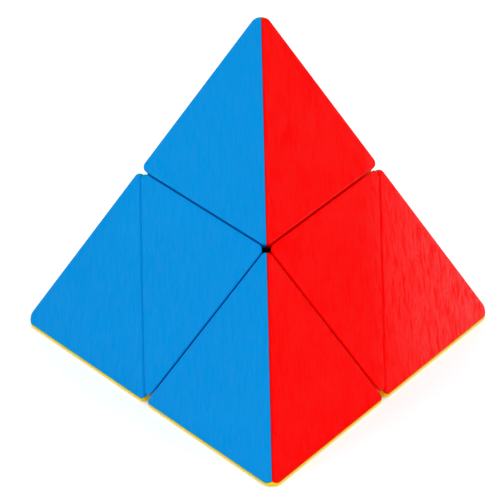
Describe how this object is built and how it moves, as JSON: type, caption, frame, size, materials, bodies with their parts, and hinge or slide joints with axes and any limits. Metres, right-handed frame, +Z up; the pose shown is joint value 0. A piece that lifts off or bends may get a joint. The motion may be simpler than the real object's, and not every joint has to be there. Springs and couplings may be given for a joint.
{
  "type": "pyramid twisty puzzle",
  "caption": "Pyramid-shaped twisty puzzle with coloured plates, cut through its middle so that each half turns against the other on a hidden ball with screws and springs.",
  "frame": {"origin": "middle of the base face, on the surface that the pyramid stands on", "axes": "+Z up to the apex, -Y to the front corner of the base, +X to the right when seen from the front corner"},
  "size_m": [0.0822, 0.0717, 0.0673],
  "materials": {
    "blue_plastic": "moulded ABS, satin, colour all through",
    "red_plastic": "moulded ABS, satin, colour all through",
    "yellow_plastic": "moulded ABS, satin, colour all through",
    "green_plastic": "moulded ABS, satin, colour all through",
    "frame_black": "moulded ABS, dull black",
    "inner_nylon": "moulded nylon, slightly waxy",
    "core_nylon": "moulded nylon, off-white",
    "screw_steel": "plain steel",
    "spring_steel": "drawn steel wire"
  },
  "bodies": {
    "core": {"core": "core_nylon", "screw_front": "screw_steel", "screw_rear_base": "screw_steel", "screw_right": "screw_steel", "screw_left_base": "screw_steel", "screw_left": "screw_steel", "screw_right_base": "screw_steel", "spring_front": "spring_steel", "spring_rear_base": "spring_steel", "spring_right": "spring_steel", "spring_left_base": "spring_steel", "spring_left": "spring_steel", "spring_right_base": "spring_steel"},
    "centre_front": {"centre_front": "inner_nylon"},
    "centre_rear_base": {"centre_rear_base": "inner_nylon"},
    "centre_right": {"centre_right": "inner_nylon"},
    "centre_left_base": {"centre_left_base": "inner_nylon"},
    "centre_left": {"centre_left": "inner_nylon"},
    "centre_right_base": {"centre_right_base": "inner_nylon"},
    "inner_edge_front_right": {"inner_edge_front_right": "inner_nylon"},
    "inner_edge_front_left_base": {"inner_edge_front_left_base": "inner_nylon"},
    "inner_edge_rear_base_right": {"inner_edge_rear_base_right": "inner_nylon"},
    "inner_edge_rear_base_left_base": {"inner_edge_rear_base_left_base": "inner_nylon"},
    "inner_edge_right_left": {"inner_edge_right_left": "inner_nylon"},
    "inner_edge_right_right_base": {"inner_edge_right_right_base": "inner_nylon"},
    "inner_edge_left_base_left": {"inner_edge_left_base_left": "inner_nylon"},
    "inner_edge_left_base_right_base": {"inner_edge_left_base_right_base": "inner_nylon"},
    "inner_edge_left_front": {"inner_edge_left_front": "inner_nylon"},
    "inner_edge_left_rear_base": {"inner_edge_left_rear_base": "inner_nylon"},
    "inner_edge_right_base_front": {"inner_edge_right_base_front": "inner_nylon"},
    "inner_edge_right_base_rear_base": {"inner_edge_right_base_rear_base": "inner_nylon"},
    "apex_tip": {"apex_frame": "frame_black", "apex_blue_plate": "blue_plastic", "apex_green_plate": "green_plastic", "apex_red_plate": "red_plastic"},
    "front_tip": {"front_frame": "frame_black", "front_blue_plate": "blue_plastic", "front_red_plate": "red_plastic", "front_yellow_plate": "yellow_plastic"},
    "right_tip": {"right_frame": "frame_black", "right_green_plate": "green_plastic", "right_red_plate": "red_plastic", "right_yellow_plate": "yellow_plastic"},
    "left_tip": {"left_frame": "frame_black", "left_blue_plate": "blue_plastic", "left_green_plate": "green_plastic", "left_yellow_plate": "yellow_plastic"},
    "base_face": {"base_face_frame": "frame_black", "base_face_plate": "yellow_plastic"},
    "back_face": {"back_face_frame": "frame_black", "back_face_plate": "green_plastic"},
    "left_face": {"left_face_frame": "frame_black", "left_face_plate": "blue_plastic"},
    "right_face": {"right_face_frame": "frame_black", "right_face_plate": "red_plastic"}
  },
  "joints": [
    {"name": "turn_front", "type": "hinge", "parent": "core", "child": "centre_front", "pos_m": [0, 0, 0.01735], "axis": [0, -0.8165, 0.5774], "continuous": true},
    {"name": "turn_rear_base", "type": "hinge", "parent": "core", "child": "centre_rear_base", "pos_m": [0, 0, 0.01735], "axis": [0, -0.8165, 0.5774], "continuous": true},
    {"name": "centre_right_turn", "type": "hinge", "parent": "core", "child": "centre_right", "pos_m": [0, 0, 0.01735], "axis": [0.7071, 0.4082, 0.5774], "continuous": true},
    {"name": "centre_left_base_turn", "type": "hinge", "parent": "core", "child": "centre_left_base", "pos_m": [0, 0, 0.01735], "axis": [0.7071, 0.4082, 0.5774], "continuous": true},
    {"name": "centre_left_turn", "type": "hinge", "parent": "core", "child": "centre_left", "pos_m": [0, 0, 0.01735], "axis": [-0.7071, 0.4082, 0.5774], "continuous": true},
    {"name": "centre_right_base_turn", "type": "hinge", "parent": "core", "child": "centre_right_base", "pos_m": [0, 0, 0.01735], "axis": [-0.7071, 0.4082, 0.5774], "continuous": true},
    {"name": "turn_right", "type": "hinge", "parent": "centre_front", "child": "inner_edge_front_right", "pos_m": [0, 0, 0.01735], "axis": [0.7071, 0.4082, 0.5774], "continuous": true},
    {"name": "turn_left_base", "type": "hinge", "parent": "centre_front", "child": "inner_edge_front_left_base", "pos_m": [0, 0, 0.01735], "axis": [0.7071, 0.4082, 0.5774], "continuous": true},
    {"name": "inner_edge_rear_base_right_turn", "type": "hinge", "parent": "centre_rear_base", "child": "inner_edge_rear_base_right", "pos_m": [0, 0, 0.01735], "axis": [0.7071, 0.4082, 0.5774], "continuous": true},
    {"name": "inner_edge_rear_base_left_base_turn", "type": "hinge", "parent": "centre_rear_base", "child": "inner_edge_rear_base_left_base", "pos_m": [0, 0, 0.01735], "axis": [0.7071, 0.4082, 0.5774], "continuous": true},
    {"name": "inner_edge_right_left_turn", "type": "hinge", "parent": "centre_right", "child": "inner_edge_right_left", "pos_m": [0, 0, 0.01735], "axis": [-0.7071, 0.4082, 0.5774], "continuous": true},
    {"name": "inner_edge_right_right_base_turn", "type": "hinge", "parent": "centre_right", "child": "inner_edge_right_right_base", "pos_m": [0, 0, 0.01735], "axis": [-0.7071, 0.4082, 0.5774], "continuous": true},
    {"name": "inner_edge_left_base_left_turn", "type": "hinge", "parent": "centre_left_base", "child": "inner_edge_left_base_left", "pos_m": [0, 0, 0.01735], "axis": [-0.7071, 0.4082, 0.5774], "continuous": true},
    {"name": "inner_edge_left_base_right_base_turn", "type": "hinge", "parent": "centre_left_base", "child": "inner_edge_left_base_right_base", "pos_m": [0, 0, 0.01735], "axis": [-0.7071, 0.4082, 0.5774], "continuous": true},
    {"name": "inner_edge_left_front_turn", "type": "hinge", "parent": "centre_left", "child": "inner_edge_left_front", "pos_m": [0, 0, 0.01735], "axis": [0, -0.8165, 0.5774], "continuous": true},
    {"name": "inner_edge_left_rear_base_turn", "type": "hinge", "parent": "centre_left", "child": "inner_edge_left_rear_base", "pos_m": [0, 0, 0.01735], "axis": [0, -0.8165, 0.5774], "continuous": true},
    {"name": "inner_edge_right_base_front_turn", "type": "hinge", "parent": "centre_right_base", "child": "inner_edge_right_base_front", "pos_m": [0, 0, 0.01735], "axis": [0, -0.8165, 0.5774], "continuous": true},
    {"name": "inner_edge_right_base_rear_base_turn", "type": "hinge", "parent": "centre_right_base", "child": "inner_edge_right_base_rear_base", "pos_m": [0, 0, 0.01735], "axis": [0, -0.8165, 0.5774], "continuous": true},
    {"name": "turn_left", "type": "hinge", "parent": "inner_edge_front_right", "child": "apex_tip", "pos_m": [0, 0, 0.01735], "axis": [-0.7071, 0.4082, 0.5774], "continuous": true},
    {"name": "turn_right_base", "type": "hinge", "parent": "inner_edge_front_left_base", "child": "front_tip", "pos_m": [0, 0, 0.01735], "axis": [-0.7071, 0.4082, 0.5774], "continuous": true},
    {"name": "right_tip_turn", "type": "hinge", "parent": "inner_edge_rear_base_right", "child": "right_tip", "pos_m": [0, 0, 0.01735], "axis": [-0.7071, 0.4082, 0.5774], "continuous": true},
    {"name": "left_tip_turn", "type": "hinge", "parent": "inner_edge_rear_base_left_base", "child": "left_tip", "pos_m": [0, 0, 0.01735], "axis": [-0.7071, 0.4082, 0.5774], "continuous": true},
    {"name": "base_face_turn", "type": "hinge", "parent": "inner_edge_rear_base_left_base", "child": "base_face", "pos_m": [0, 0, 0.01735], "axis": [-0.7071, 0.4082, 0.5774], "continuous": true},
    {"name": "back_face_turn", "type": "hinge", "parent": "inner_edge_rear_base_right", "child": "back_face", "pos_m": [0, 0, 0.01735], "axis": [-0.7071, 0.4082, 0.5774], "continuous": true},
    {"name": "left_face_turn", "type": "hinge", "parent": "inner_edge_front_left_base", "child": "left_face", "pos_m": [0, 0, 0.01735], "axis": [-0.7071, 0.4082, 0.5774], "continuous": true},
    {"name": "right_face_turn", "type": "hinge", "parent": "inner_edge_front_right", "child": "right_face", "pos_m": [0, 0, 0.01735], "axis": [-0.7071, 0.4082, 0.5774], "continuous": true}
  ],
  "couplings": [
    {"joint": "centre_right_turn", "follows": "turn_right", "ratio": 1},
    {"joint": "centre_left_base_turn", "follows": "turn_left_base", "ratio": 1},
    {"joint": "centre_left_turn", "follows": "turn_left", "ratio": 1},
    {"joint": "centre_right_base_turn", "follows": "turn_right_base", "ratio": 1},
    {"joint": "inner_edge_rear_base_right_turn", "follows": "turn_right", "ratio": 1},
    {"joint": "inner_edge_rear_base_left_base_turn", "follows": "turn_left_base", "ratio": 1},
    {"joint": "inner_edge_right_left_turn", "follows": "turn_left", "ratio": 1},
    {"joint": "inner_edge_right_right_base_turn", "follows": "turn_right_base", "ratio": 1},
    {"joint": "inner_edge_left_base_left_turn", "follows": "turn_left", "ratio": 1},
    {"joint": "inner_edge_left_base_right_base_turn", "follows": "turn_right_base", "ratio": 1},
    {"joint": "inner_edge_left_front_turn", "follows": "turn_front", "ratio": 1},
    {"joint": "inner_edge_left_rear_base_turn", "follows": "turn_rear_base", "ratio": 1},
    {"joint": "inner_edge_right_base_front_turn", "follows": "turn_front", "ratio": 1},
    {"joint": "inner_edge_right_base_rear_base_turn", "follows": "turn_rear_base", "ratio": 1},
    {"joint": "right_tip_turn", "follows": "turn_right_base", "ratio": 1},
    {"joint": "left_tip_turn", "follows": "turn_left", "ratio": 1},
    {"joint": "base_face_turn", "follows": "turn_right_base", "ratio": 1},
    {"joint": "back_face_turn", "follows": "turn_left", "ratio": 1},
    {"joint": "left_face_turn", "follows": "turn_left", "ratio": 1},
    {"joint": "right_face_turn", "follows": "turn_right_base", "ratio": 1}
  ]
}
